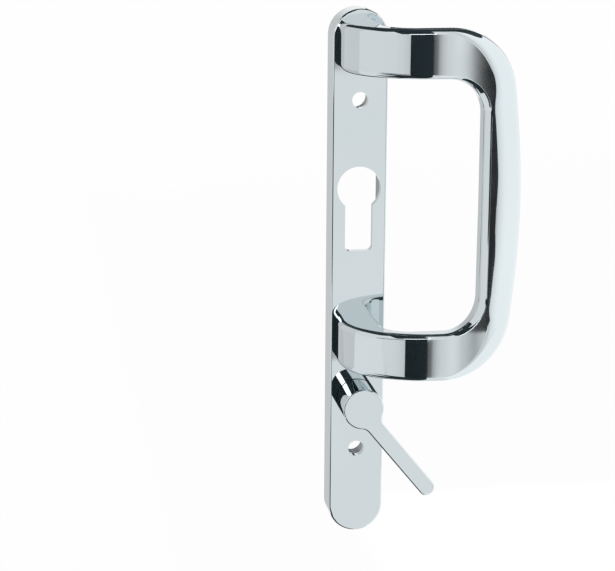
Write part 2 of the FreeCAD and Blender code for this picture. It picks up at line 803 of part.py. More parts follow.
bush = new_body("lever_bush")
sleeve = new_sketch(bush, "sleeve", up="lever_height", out="boss_recess")
circle(sleeve, "bush_outer", "outer")
circle(sleeve, "lever_neck + 2 * running_gap", "inner")
pad(bush, sleeve, "plate_depth - boss_recess")
flange = new_sketch(bush, "flange", up="lever_height", out="plate_depth")
circle(flange, "bush_flange", "outer")
circle(flange, "lever_neck + 2 * running_gap", "inner")
pad(bush, flange, "bush_flange_depth")


# Wave washer: a thin spring ring with three waves, between the lever's boss and the stop washer


def wave_ring(diameter, height_of):
    points = []
    steps = 18
    for step in range(steps):
        angle = 2 * math.pi * step / steps
        radius = diameter / 2
        points.append(FreeCAD.Vector(radius * math.cos(angle), height_of(angle), radius * math.sin(angle)))
    curve = Part.BSplineCurve()
    curve.interpolate(points, PeriodicFlag=True)
    return Part.Wire(curve.toShape())


def wave_shape():
    room = size("wave_space") - size("wave_thickness") - 2 * size("seat_gap")
    base = -(size("boss_recess") - size("seat_gap"))

    def height_of(angle):
        return base + room * (1 + math.cos(3 * angle)) / 2

    face = Part.makeRuledSurface(
        wave_ring(size("wave_inner"), height_of), wave_ring(size("wave_outer"), height_of)
    )
    return Part.Solid(face.extrude(FreeCAD.Vector(0, size("wave_thickness"), 0)))


wave = doc.addObject("Part::Feature", "wave_washer")
wave.Label = "wave_washer"
wave.Shape = wave_shape()
wave.Placement = FreeCAD.Placement(FreeCAD.Vector(0, 0, size("lever_height")), FreeCAD.Rotation())


# Thumb lever and what turns with it. Each piece is drawn with the lever pointing straight down from its
# axis, and its placement turns it to the rest angle.

HEAD_OUT = "(plate_depth + bush_flange_depth + running_gap)"
FRONT_OUT = "(plate_depth + lever_rise)"
FLATS_OUT = "(boss_recess - wave_space + running_gap)"


def set_on_lever_axis(piece):
    axis = FreeCAD.Vector(0, -1, 0)
    piece.Placement = FreeCAD.Placement(FreeCAD.Vector(), FreeCAD.Rotation(axis, 1))
    piece.setExpression("Placement.Rotation.Angle", on_sheet("lever_rest_angle"))
    piece.setExpression("Placement.Base.z", on_sheet("lever_height"))


lever = new_body("thumb_lever")
head = new_sketch(lever, "head", out=HEAD_OUT)
circle(head, "lever_head")
pad(lever, head, f"{FRONT_OUT} - {HEAD_OUT}")
ARM_OUT = f"{FRONT_OUT} - lever_arm_depth"
arm = new_sketch(lever, "arm", across="-lever_arm_offset", up="-lever_arm_reach / 2", out=ARM_OUT)
round_ended_bar(arm, "lever_arm_width", "lever_arm_reach")
pad(lever, arm, "lever_arm_depth")


def arm_root(edge):
    """A straight edge where a side of the arm leaves the head."""
    at = edge.Vertexes[0].Point
    return runs_out(edge) and abs(math.hypot(at.x, at.z) - size("lever_head") / 2) < 1e-3 and at.z < 0


round_edges(lever, "arm_roots", "lever_arm_blend", arm_root)
round_edges(lever, "front_edge", "lever_edge_radius", lambda edge: lies_out(edge, value_of(FRONT_OUT)))

neck = new_sketch(lever, "neck", out=FLATS_OUT)
circle(neck, "lever_neck")
pad(lever, neck, f"{HEAD_OUT} + bush_flange_depth - {FLATS_OUT}")
neck_end = new_sketch(lever, "neck_end", out="lever_neck_recess")
two_flat_round(neck_end, "lever_neck", "lever_neck_flats")
pad(lever, neck_end, f"{FLATS_OUT} + bush_flange_depth - lever_neck_recess")
groove = new_sketch(lever, "circlip_groove", out=f"{STOP_WASHER_OUT} - seat_gap")
circle(groove, "2 * lever_neck", "outer")
circle(groove, "circlip_inner - 2 * seat_gap", "inner")
cut(lever, groove, "circlip_thickness")
socket = new_sketch(lever, "spindle_socket", out="plate_depth + socket_rise")
rectangle(socket, "spindle_size + 2 * seat_gap", "spindle_size + 2 * seat_gap")
cut(lever, socket)
tapping = new_sketch(
    lever, "grub_hole", TOP, up="-(plate_depth + grub_screw_rise)", out="-spindle_size / 4"
)
circle(tapping, "grub_screw + 2 * seat_gap")
cut(lever, tapping, "lever_head")

stop_washer = new_body("stop_washer")
disc = new_sketch(stop_washer, "disc", out=STOP_WASHER_OUT)
circle(disc, "stop_washer")
pad(stop_washer, disc, "stop_washer_thickness")
lug = new_sketch(stop_washer, "lug", up="-stop_lug_reach / 2", out=STOP_WASHER_OUT)
rectangle(lug, "stop_lug_width", "stop_lug_reach")
pad(stop_washer, lug, "stop_washer_thickness")
keyway = new_sketch(stop_washer, "keyway", out="boss_recess")
two_flat_round(keyway, "lever_neck + 2 * seat_gap", "lever_neck_flats + 2 * seat_gap")
cut(stop_washer, keyway)

circlip = new_body("circlip")
CIRCLIP_OUT = f"{STOP_WASHER_OUT} - seat_gap - circlip_thickness"
ring = new_sketch(circlip, "ring", out=CIRCLIP_OUT)
circle(ring, "circlip_outer", "outer")
circle(ring, "circlip_inner", "inner")
pad(circlip, ring, "circlip_thickness")
CLIP_RADIUS = "(circlip_outer + circlip_inner) / 4"
gap = new_sketch(circlip, "gap", up=CLIP_RADIUS, out="boss_recess")
rectangle(gap, "circlip_gap", "circlip_outer - circlip_inner")
cut(circlip, gap)
for side, sign in (("left", "-"), ("right", "")):
    beside = f"{sign}(circlip_gap + circlip_eye) / 2"
    eye = new_sketch(circlip, f"eye_{side}", across=beside, up=CLIP_RADIUS, out=CIRCLIP_OUT)
    circle(eye, "circlip_eye")
    pad(circlip, eye, "circlip_thickness")
    eye_hole = new_sketch(circlip, f"eye_hole_{side}", across=beside, up=CLIP_RADIUS, out="boss_recess")
    circle(eye_hole, "circlip_eye_hole")
    cut(circlip, eye_hole)

spindle = new_body("spindle")
bar = new_sketch(spindle, "bar", out="-spindle_reach")
rectangle(bar, "spindle_size", "spindle_size")
pad(spindle, bar, "spindle_reach + plate_depth + socket_rise - seat_gap")
bevel_edges(spindle, "tip", "spindle_chamfer", lambda edge: lies_out(edge, -size("spindle_reach")))

grub = new_body("grub_screw")
GRUB_END = "spindle_size / 2 + seat_gap / 2"
stud = new_sketch(
    grub, "stud", TOP, up="-(plate_depth + grub_screw_rise)", out=f"-({GRUB_END} + grub_screw_length)"
)
circle(stud, "grub_screw")
pad(grub, stud, "grub_screw_length")
key = new_sketch(
    grub, "key", TOP, up="-(plate_depth + grub_screw_rise)", out=f"-({GRUB_END} + grub_screw_length / 2)"
)
hexagon(key, "grub_screw_socket")
cut(grub, key)

lever_pieces = [lever, stop_washer, circlip, spindle, grub]
for piece in lever_pieces:
    set_on_lever_axis(piece)
doc.recompute()


# Every piece is checked, then written to its own file.

pieces = [plate, pull, *pull_fasteners, bush, wave, *lever_pieces]

for item in doc.Objects:
    if {"Invalid", "Error"} & set(item.State):
        raise ValueError(f"{item.Name} failed: {item.State}")
for piece in pieces:
    shape = piece.Shape
    if shape.isNull() or not shape.isValid() or len(shape.Solids) != 1:
        raise ValueError(f"{piece.Label} isn't one valid solid")

os.makedirs("parts", exist_ok=True)
for piece in pieces:
    piece.Shape.exportStep(f"parts/{piece.Label}.step")
    box = piece.Shape.BoundBox
    corners = [round(v, 2) for v in (box.XMin, box.YMin, box.ZMin, box.XMax, box.YMax, box.ZMax)]
    print(piece.Label, round(piece.Shape.Volume, 1), corners)
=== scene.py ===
import math

import bmesh
import bpy
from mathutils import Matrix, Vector


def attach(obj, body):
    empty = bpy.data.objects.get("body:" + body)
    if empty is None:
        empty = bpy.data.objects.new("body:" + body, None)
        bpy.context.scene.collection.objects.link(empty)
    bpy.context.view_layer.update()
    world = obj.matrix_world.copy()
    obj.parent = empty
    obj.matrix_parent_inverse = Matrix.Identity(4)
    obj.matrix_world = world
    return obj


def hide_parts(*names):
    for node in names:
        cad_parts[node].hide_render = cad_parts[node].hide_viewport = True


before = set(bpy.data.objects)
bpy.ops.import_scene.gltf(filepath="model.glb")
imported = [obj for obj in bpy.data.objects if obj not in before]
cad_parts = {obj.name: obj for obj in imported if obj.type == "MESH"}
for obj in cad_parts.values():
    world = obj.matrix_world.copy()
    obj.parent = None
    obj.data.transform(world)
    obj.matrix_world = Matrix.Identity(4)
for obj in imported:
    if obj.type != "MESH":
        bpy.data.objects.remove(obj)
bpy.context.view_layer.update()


# Backplate: a hollow zinc die casting with full round ends, polished and plated with bright chrome.
# The wheel has rounded its front edge, and the hollow back keeps the dull skin of the mould.


def linear(hex_colour):
    """The linear colour of an sRGB hex value, with full alpha."""
    channels = [int(hex_colour[i : i + 2], 16) / 255 for i in (1, 3, 5)]
    return *(c / 12.92 if c <= 0.04045 else ((c + 0.055) / 1.055) ** 2.4 for c in channels), 1.0


def add_node(tree, kind, links=None, **settings):
    """A node with its settings, and its inputs linked to sockets or set to values."""
    node = tree.nodes.new(kind)
    for name, value in settings.items():
        setattr(node, name, value)
    for name, value in (links or {}).items():
        if isinstance(value, bpy.types.NodeSocket):
            tree.links.new(value, node.inputs[name])
        else:
            node.inputs[name].default_value = value
    return node


def new_finish(name):
    """An empty material, its tree, and the object coordinates that its patterns read."""
    finish = bpy.data.materials.new(name)
    finish.use_nodes = True
    tree = finish.node_tree
    tree.nodes.clear()
    place = add_node(tree, "ShaderNodeTexCoord").outputs["Object"]
    return finish, tree, place


# Bright chrome plate over polished zinc: a cool, slightly blue mirror. The casting under it is
# never quite flat, so reflections waver over some 25 mm, and a wipe of the hand leaves faint hazy
# patches.
chrome_plate, tree, place = new_finish("chrome_plate")
haze = add_node(tree, "ShaderNodeTexNoise", {"Vector": place, "Scale": 55.0, "Detail": 3.0})
haze_spread = add_node(
    tree, "ShaderNodeMapRange",
    {
        "Value": haze.outputs["Fac"], "From Min": 0.35, "From Max": 0.7,
        "To Min": 0.02, "To Max": 0.055,
    },
)
tone = add_node(tree, "ShaderNodeTexNoise", {"Vector": place, "Scale": 22.0, "Detail": 1.0})
tone_mix = add_node(
    tree, "ShaderNodeMix",
    {"Factor": tone.outputs["Fac"], "A": linear("#CDD6D9"), "B": linear("#D3DBDE")},
    data_type="RGBA",
)
swell = add_node(tree, "ShaderNodeTexNoise", {"Vector": place, "Scale": 40.0, "Detail": 0.0})
swell_bump = add_node(
    tree, "ShaderNodeBump", {"Height": swell.outputs["Fac"], "Distance": 0.000012, "Strength": 1.0}
)
chrome = add_node(
    tree, "ShaderNodeBsdfPrincipled",
    {
        "Base Color": tone_mix.outputs["Result"],
        "Metallic": 1.0,
        "Roughness": haze_spread.outputs["Result"],
        "Normal": swell_bump.outputs["Normal"],
    },
)
add_node(tree, "ShaderNodeOutputMaterial", {"Surface": chrome.outputs["BSDF"]})

# As-cast zinc inside the plate: the plating is thin here and the mould's skin shows as a dull grey
# with a fine grain of about 0.5 mm and darker flow marks some 8 mm long.
cast_zinc, tree, place = new_finish("cast_zinc")
grain = add_node(tree, "ShaderNodeTexNoise", {"Vector": place, "Scale": 1900.0, "Detail": 2.0})
flow = add_node(
    tree, "ShaderNodeTexNoise", {"Vector": place, "Scale": 120.0, "Detail": 4.0, "Distortion": 0.6}
)
flow_mix = add_node(
    tree, "ShaderNodeMix",
    {"Factor": flow.outputs["Fac"], "A": linear("#8B9194"), "B": linear("#B9BEC0")},
    data_type="RGBA",
)
flow_rough = add_node(
    tree, "ShaderNodeMapRange", {"Value": flow.outputs["Fac"], "To Min": 0.32, "To Max": 0.52}
)
grain_bump = add_node(
    tree, "ShaderNodeBump", {"Height": grain.outputs["Fac"], "Distance": 0.00004, "Strength": 0.5}
)
zinc = add_node(
    tree, "ShaderNodeBsdfPrincipled",
    {
        "Base Color": flow_mix.outputs["Result"],
        "Metallic": 1.0,
        "Roughness": flow_rough.outputs["Result"],
        "Normal": grain_bump.outputs["Normal"],
    },
)
add_node(tree, "ShaderNodeOutputMaterial", {"Surface": zinc.outputs["BSDF"]})

SAME_PLACE, SHARP_DEGREES = 0.000002, 35


def joined_copy(node, name, *finishes):
    """A casting's mesh, finished, with its corners joined so that its roundings shade smoothly."""
    piece = bpy.data.objects.new(name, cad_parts[node].data.copy())
    bpy.context.scene.collection.objects.link(piece)
    form = bmesh.new()
    form.from_mesh(piece.data)
    bmesh.ops.remove_doubles(form, verts=form.verts, dist=SAME_PLACE)
    form.to_mesh(piece.data)
    form.free()
    if "custom_normal" in piece.data.attributes:
        piece.data.attributes.remove(piece.data.attributes["custom_normal"])
    piece.data.shade_smooth()
    piece.data.set_sharp_from_angle(angle=math.radians(SHARP_DEGREES))
    flats = piece.modifiers.new("flats_stay_flat", "WEIGHTED_NORMAL")
    flats.weight = 100
    flats.keep_sharp = True
    piece.data.materials.clear()
    for finish in finishes:
        piece.data.materials.append(finish)
    return piece


PLATE_HALF_WIDTH, PLATE_HALF_LENGTH, PLATE_DEPTH = 0.011, 0.107, 0.012
PLATE_WALL, PLATE_FACE, MARGIN = 0.002, 0.003, 0.0001

backplate = joined_copy("backplate", "backplate_casting", chrome_plate, cast_zinc)
inner_half = PLATE_HALF_WIDTH - PLATE_WALL + MARGIN
inner_end = PLATE_HALF_LENGTH - PLATE_HALF_WIDTH
for face in backplate.data.polygons:
    middle = face.center
    beyond = max(0.0, abs(middle.z) - inner_end)
    inside_wall = math.hypot(middle.x, beyond) < inner_half
    behind_face = middle.y > -(PLATE_DEPTH - PLATE_FACE) - MARGIN
    face.material_index = 1 if inside_wall and behind_face and middle.y < -MARGIN else 0
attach(backplate, "handle")
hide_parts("backplate")


# Pull: one zinc casting, polished and chromed. Two feet stand on the plate, crank out and to the
# side, and run into the D that the hand holds. Its section goes from a flat bar to a grip with a
# full round outside.

# Sizes in millimetres. Heights are from the middle of the pull, and rises from the plate's front.
PULL_CENTRE, PULL_SPACING, ARM_HEIGHT = 34.3, 117.6, 18.8
PLATE_FRONT = 12.0
FOOT_INNER, FOOT_OUTER, CRANK_STRAIGHT = 7.0, 9.0, 7.0
CRANK_RUN, CRANK_RISE, CRANK_INNER_RADIUS, LIMB_DEPTH = 34.0, 35.0, 10.0, 8.0
GRIP_INNER, GRIP_OUTER, GRIP_DEPTH, GRIP_RISE = 41.5, 57.9, 11.5, 35.5
BOW_RADIUS, OUTER_CORNER, INNER_CORNER = 345.0, 26.0, 14.0

# How many sections each stretch has, from the foot to the middle of the grip, and how many points
# go round a section's corner and along its sides.
FOOT_STEPS, POST_STEPS, CRANK_STEPS, LIMB_STEPS, CORNER_SECTIONS, GRIP_STEPS = 4, 12, 48, 8, 60, 24
CORNER_STEPS, SIDE_SHARES = 12, (0.0, 0.04, 0.3, 0.7, 0.96)

# How far a corner's curve is drawn towards the corner: a quarter of an ellipse, or a flat facet.
# Each set of rounds is (across, from back to front, drawn) for the front's outer and inner corners
# and the back. In the D's corner the grip's rounds come on early, by this power of the way.
ROUND, FACET, EARLY = 4 / 3 * (math.sqrt(2) - 1), 0.25, 0.65
FOOT_ROUNDS = ((3.0, 3.0, ROUND), (3.0, 3.0, ROUND), (3.0, 3.0, ROUND))
LIMB_ROUNDS = ((1.8, 1.8, ROUND), (1.8, 1.8, ROUND), (1.8, 1.8, ROUND))
GRIP_ROUNDS = ((12.0, 8.0, ROUND), (2.6, 3.2, FACET), (3.4, 3.4, ROUND))


def between(first, second, share):
    """Rounds that lie this share of the way from one set to another."""
    return tuple(
        tuple(a + (b - a) * share for a, b in zip(p, q)) for p, q in zip(first, second)
    )


def section_ring(centre, outward, forward, width, depth, rounds):
    """Points and running directions around one section of the pull, in millimetres."""

    def corner_of(side, face, cut):
        corner = centre + outward * (side * width / 2) + forward * (face * depth / 2)
        on_side, on_face = corner - forward * (face * cut[1]), corner - outward * (side * cut[0])
        return on_side, on_side.lerp(corner, cut[2]), on_face.lerp(corner, cut[2]), on_face

    corners = [
        corner_of(1, 1, rounds[0]),
        corner_of(-1, 1, rounds[1])[::-1],
        corner_of(-1, -1, rounds[2]),
        corner_of(1, -1, rounds[2])[::-1],
    ]
    ring = []
    for poles, following in zip(corners, corners[1:] + corners[:1]):
        start, first, second, end = poles
        for step in range(1, CORNER_STEPS):
            t = (1 - math.cos(math.pi * step / CORNER_STEPS)) / 2
            u = 1 - t
            point = start * u**3 + first * (3 * u * u * t) + second * (3 * u * t * t) + end * t**3
            running = (first - start) * u * u + (second - first) * (2 * u * t)
            running += (end - second) * t * t
            ring.append((point, running))
        for share in SIDE_SHARES + (1.0,):
            ring.append((end.lerp(following[0], share), following[0] - end))
    return ring


def in_pull(x, rise, z):
    """A point of the pull from its place across, out of the plate and up."""
    return Vector((x, -(PLATE_FRONT + rise), z))


def to_ellipse(start, direction):
    """How far the crank's outside lies from a point of its plan, along a direction."""
    climb, flat_x = CRANK_RISE - CRANK_STRAIGHT, CRANK_RUN - FOOT_OUTER
    across = (start[0] - flat_x) / CRANK_RUN, direction[0] / CRANK_RUN
    along = (start[1] - CRANK_STRAIGHT) / climb, direction[1] / climb
    a = across[1] ** 2 + along[1] ** 2
    b = across[0] * across[1] + along[0] * along[1]
    return (-b + math.sqrt(b * b - a * (across[0] ** 2 + along[0] ** 2 - 1))) / a


def to_circle(start, direction, centre, radius):
    """How far a circle lies from a point inside it, along a direction."""
    gap = start[0] - centre[0], start[1] - centre[1]
    b = gap[0] * direction[0] + gap[1] * direction[1]
    return -b + math.sqrt(b * b - gap[0] ** 2 - gap[1] ** 2 + radius**2)


def crank_pairs():
    """Plan points inside and outside the crank, and their share of the way from foot to limb.

    The way has nine parts: two up the foot, two more up the post, four round the crank, one along.
    """
    back = CRANK_RISE - LIMB_DEPTH
    hub = FOOT_INNER + CRANK_INNER_RADIUS, back - CRANK_INNER_RADIUS
    for step in range(FOOT_STEPS + 1):
        rise = CRANK_STRAIGHT * step / FOOT_STEPS
        yield (FOOT_INNER, rise), (-FOOT_OUTER, rise), 2 / 9 * step / FOOT_STEPS
    for step in range(1, POST_STEPS + 1):
        rise = CRANK_STRAIGHT + (hub[1] - CRANK_STRAIGHT) * step / POST_STEPS
        reach = to_ellipse((FOOT_INNER, rise), (-1, 0))
        yield (FOOT_INNER, rise), (FOOT_INNER - reach, rise), (2 + 2 * step / POST_STEPS) / 9
    for step in range(1, CRANK_STEPS + 1):
        turn = math.pi - math.pi / 2 * step / CRANK_STEPS
        way = math.cos(turn), math.sin(turn)
        reach = to_ellipse(hub, way)
        inner = hub[0] + CRANK_INNER_RADIUS * way[0], hub[1] + CRANK_INNER_RADIUS * way[1]
        outer = hub[0] + reach * way[0], hub[1] + reach * way[1]
        yield inner, outer, (4 + 4 * step / CRANK_STEPS) / 9
    for step in range(1, LIMB_STEPS):
        x = hub[0] + (GRIP_INNER - INNER_CORNER - hub[0]) * step / LIMB_STEPS
        curved_x = min(x, CRANK_RUN - FOOT_OUTER)
        front = back + to_ellipse((curved_x, back), (0, 1))
        yield (x, back), (x, front), min(1.0, (8 + 2 * step / LIMB_STEPS) / 9)


def outer_reach(start, way):
    """The D's outline from the inner corner's centre: a level top, a round corner, a slow bow."""
    top = (PULL_SPACING + ARM_HEIGHT) / 2
    bow_x, rise = GRIP_OUTER - BOW_RADIUS, top - OUTER_CORNER
    hub_x = bow_x + math.sqrt((BOW_RADIUS - OUTER_CORNER) ** 2 - rise**2)
    on_corner = to_circle(start, way, (hub_x, rise), OUTER_CORNER)
    x, z = start[0] + on_corner * way[0], start[1] + on_corner * way[1]
    if x < hub_x:
        return (top - start[1]) / way[1]
    if z - rise > (x - hub_x) * rise / (hub_x - bow_x):
        return on_corner
    return to_circle(start, way, (bow_x, 0.0), BOW_RADIUS)


def upper_rings():
    """The pull's sections from its upper foot to the middle of the grip."""
    up, out, side = Vector((0, 0, 1)), Vector((0, -1, 0)), Vector((1, 0, 0))
    for inner, outer, share in crank_pairs():
        back, front = in_pull(*inner, PULL_SPACING / 2), in_pull(*outer, PULL_SPACING / 2)
        depth, forward = (front - back).length, (front - back).normalized()
        rounds = between(FOOT_ROUNDS, LIMB_ROUNDS, share)
        yield section_ring((back + front) / 2, up, forward, ARM_HEIGHT, depth, rounds)
    start = GRIP_INNER - INNER_CORNER, (PULL_SPACING - ARM_HEIGHT) / 2 - INNER_CORNER
    for step in range(CORNER_SECTIONS + 1):
        turn = math.pi / 2 * (1 - step / CORNER_SECTIONS)
        way = math.cos(turn), math.sin(turn)
        deepening = (1 - math.cos(math.pi * step / CORNER_SECTIONS)) / 2
        depth = LIMB_DEPTH + (GRIP_DEPTH - LIMB_DEPTH) * deepening
        reach = outer_reach(start, way)
        along = (INNER_CORNER + reach) / 2
        x, z = start[0] + along * way[0], start[1] + along * way[1]
        middle = in_pull(x, CRANK_RISE - depth / 2, z)
        rounding = (1 - math.cos(math.pi * (step / CORNER_SECTIONS) ** EARLY)) / 2
        rounds = between(LIMB_ROUNDS, GRIP_ROUNDS, rounding)
        outward = Vector((way[0], 0, way[1]))
        yield section_ring(middle, outward, out, reach - INNER_CORNER, depth, rounds)
    for step in range(1, GRIP_STEPS + 1):
        height = start[1] * (1 - step / GRIP_STEPS)
        crown = (1 - math.cos(math.pi * step / GRIP_STEPS)) / 2
        rise = CRANK_RISE + (GRIP_RISE - CRANK_RISE) * crown
        outer_x = GRIP_OUTER - BOW_RADIUS + math.sqrt(BOW_RADIUS**2 - height**2)
        middle = in_pull((outer_x + GRIP_INNER) / 2, rise - GRIP_DEPTH / 2, height)
        yield section_ring(middle, side, out, outer_x - GRIP_INNER, GRIP_DEPTH, GRIP_ROUNDS)


upper_half = list(upper_rings())
lower_half = [
    [(Vector((p.x, p.y, -p.z)), Vector((d.x, d.y, -d.z))) for p, d in ring]
    for ring in reversed(upper_half[:-1])
]
rings = upper_half + lower_half
lift = Vector((0, 0, PULL_CENTRE))
count = len(rings[0])
form = bmesh.new()
rows = [[form.verts.new((p + lift) / 1000) for p, _ in ring] for ring in rings]
for row, following in zip(rows, rows[1:]):
    for k in range(count):
        form.faces.new((row[k], row[(k + 1) % count], following[(k + 1) % count], following[k]))
form.faces.new(rows[0])
form.faces.new(rows[-1])
bmesh.ops.recalc_face_normals(form, faces=form.faces)
pull_mesh = bpy.data.meshes.new("pull_casting")
form.to_mesh(pull_mesh)
form.free()
pull_mesh.shade_smooth()
pull_normals = []
for i, ring in enumerate(rings):
    before, after = rings[max(0, i - 1)], rings[min(len(rings) - 1, i + 1)]
    middle = sum((p for p, _ in ring), Vector()) / count
    for k, (point, running) in enumerate(ring):
        normal = (after[k][0] - before[k][0]).cross(running).normalized()
        pull_normals.append(normal if normal.dot(point - middle) > 0 else -normal)
pull_mesh.normals_split_custom_set_from_vertices(pull_normals)
pull_mesh.materials.append(chrome_plate)
pull = bpy.data.objects.new("pull_casting", pull_mesh)
bpy.context.scene.collection.objects.link(pull)
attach(pull, "handle")
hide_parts("pull_handle")


# Screws of the pull: two socket-head machine screws, cold-headed, knurled and zinc-plated, driven
# from behind through the plate's bosses into the feet. Each one bears on a split spring washer.

# Bright zinc over turned steel: a soft, faintly blue metal with fine rings round the screw's axis,
# drawn 0.5 mm apart so that they show.
zinc_steel, tree, place = new_finish("zinc_plated_steel")
rings_wave = add_node(
    tree, "ShaderNodeTexWave",
    {"Vector": place, "Scale": 630.0, "Distortion": 0.4, "Detail": 1.0},
    wave_type="BANDS", bands_direction="Y",
)
dull = add_node(tree, "ShaderNodeTexNoise", {"Vector": place, "Scale": 700.0, "Detail": 2.0})
dull_mix = add_node(
    tree, "ShaderNodeMix",
    {"Factor": dull.outputs["Fac"], "A": linear("#B4B8BD"), "B": linear("#D3D4D6")},
    data_type="RGBA",
)
dull_rough = add_node(
    tree, "ShaderNodeMapRange", {"Value": dull.outputs["Fac"], "To Min": 0.22, "To Max": 0.38}
)
ring_bump = add_node(
    tree, "ShaderNodeBump",
    {"Height": rings_wave.outputs["Fac"], "Distance": 0.00001, "Strength": 0.6},
)
steel = add_node(
    tree, "ShaderNodeBsdfPrincipled",
    {
        "Base Color": dull_mix.outputs["Result"],
        "Metallic": 1.0,
        "Roughness": dull_rough.outputs["Result"],
        "Normal": ring_bump.outputs["Normal"],
    },
)
add_node(tree, "ShaderNodeOutputMaterial", {"Surface": steel.outputs["BSDF"]})

# Hardened spring steel, blackened and oiled: a dark satin grey with browner, rougher patches some
# 2 mm across where the oil has dried.
spring_steel, tree, place = new_finish("oiled_spring_steel")
patch = add_node(tree, "ShaderNodeTexNoise", {"Vector": place, "Scale": 480.0, "Detail": 3.0})
patch_mix = add_node(
    tree, "ShaderNodeMix",
    {"Factor": patch.outputs["Fac"], "A": linear("#55575C"), "B": linear("#86837E")},
    data_type="RGBA",
)
patch_rough = add_node(
    tree, "ShaderNodeMapRange", {"Value": patch.outputs["Fac"], "To Min": 0.25, "To Max": 0.5}
)
spring = add_node(
    tree, "ShaderNodeBsdfPrincipled",
    {
        "Base Color": patch_mix.outputs["Result"],
        "Metallic": 1.0,
        "Roughness": patch_rough.outputs["Result"],
    },
)
add_node(tree, "ShaderNodeOutputMaterial", {"Surface": spring.outputs["BSDF"]})

FOOT_CENTRE_X, UPPER_FOOT_Z = -0.001, 0.0931
SCREW_HEAD_OUT, SCREW_SEAT_OUT, SCREW_END_OUT, WASHER_THICKNESS = 0.001, 0.0038, 0.021, 0.0012


def fastener_tree(name, sizes):
    """An empty geometry tree with one named input for each size."""
    tree = bpy.data.node_groups.new(name, "GeometryNodeTree")
    for label, value in sizes.items():
        kind = "NodeSocketInt" if isinstance(value, int) else "NodeSocketFloat"
        socket = tree.interface.new_socket(label, in_out="INPUT", socket_type=kind)
        socket.default_value = value
    tree.interface.new_socket("Geometry", in_out="OUTPUT", socket_type="NodeSocketGeometry")
    return tree, add_node(tree, "NodeGroupInput").outputs


def at_both_feet(tree, given, geometry, finish):
    """Stands the fastener in each foot, its axis out of the door, and ends the tree."""
    down = add_node(
        tree, "ShaderNodeMath", {0: given["Foot Spacing"], 1: -1.0}, operation="MULTIPLY"
    )
    step = add_node(tree, "ShaderNodeCombineXYZ", {"Z": down.outputs[0]})
    first = add_node(
        tree, "ShaderNodeCombineXYZ", {"X": given["Foot X"], "Z": given["Upper Foot Z"]}
    )
    feet = add_node(
        tree, "GeometryNodeMeshLine",
        {"Count": 2, "Start Location": first.outputs[0], "Offset": step.outputs[0]}, mode="OFFSET",
    )
    stood = add_node(
        tree, "GeometryNodeInstanceOnPoints",
        {"Points": feet.outputs[0], "Instance": geometry, "Rotation": (math.pi / 2, 0.0, 0.0)},
    )
    real = add_node(tree, "GeometryNodeRealizeInstances", {0: stood.outputs[0]})
    dressed = add_node(
        tree, "GeometryNodeSetMaterial", {"Geometry": real.outputs[0], "Material": finish}
    )
    add_node(tree, "NodeGroupOutput", {0: dressed.outputs[0]})


def plain_mesh_of(tree, name, sizes):
    """Runs the tree with these sizes on an empty object and keeps the result as a plain mesh."""
    piece = bpy.data.objects.new(name, bpy.data.meshes.new(name))
    bpy.context.scene.collection.objects.link(piece)
    maker = piece.modifiers.new("maker", "NODES")
    maker.node_group = tree
    for socket in tree.interface.items_tree:
        if socket.in_out == "INPUT":
            maker[socket.identifier] = sizes[socket.name]
    shown = piece.evaluated_get(bpy.context.evaluated_depsgraph_get())
    made = bpy.data.meshes.new_from_object(shown)
    piece.modifiers.clear()
    piece.data = made
    return piece


screw_sizes = {
    "Head Diameter": 0.0088, "Head Depth": 0.0028, "Head Bevel": 0.0005, "Flutes": 24,
    "Flute Depth": 0.00018, "Socket Width": 0.003, "Socket Depth": 0.0018, "Shank Diameter": 0.005,
    "Shank End": SCREW_END_OUT, "Head Out": SCREW_HEAD_OUT, "Foot X": FOOT_CENTRE_X,
    "Upper Foot Z": UPPER_FOOT_Z, "Foot Spacing": PULL_SPACING / 1000,
}
RAIL_RADIUS, POINTS_A_FLUTE, RIM_SHARE, POLE_GAP, SOCKET_SIDES = 0.0001, 4.0, 0.98, 0.000005, 6
screw_tree, given = fastener_tree("socket_head_screw", screw_sizes)
position = add_node(screw_tree, "GeometryNodeInputPosition")
where = add_node(screw_tree, "ShaderNodeSeparateXYZ", {0: position.outputs[0]})

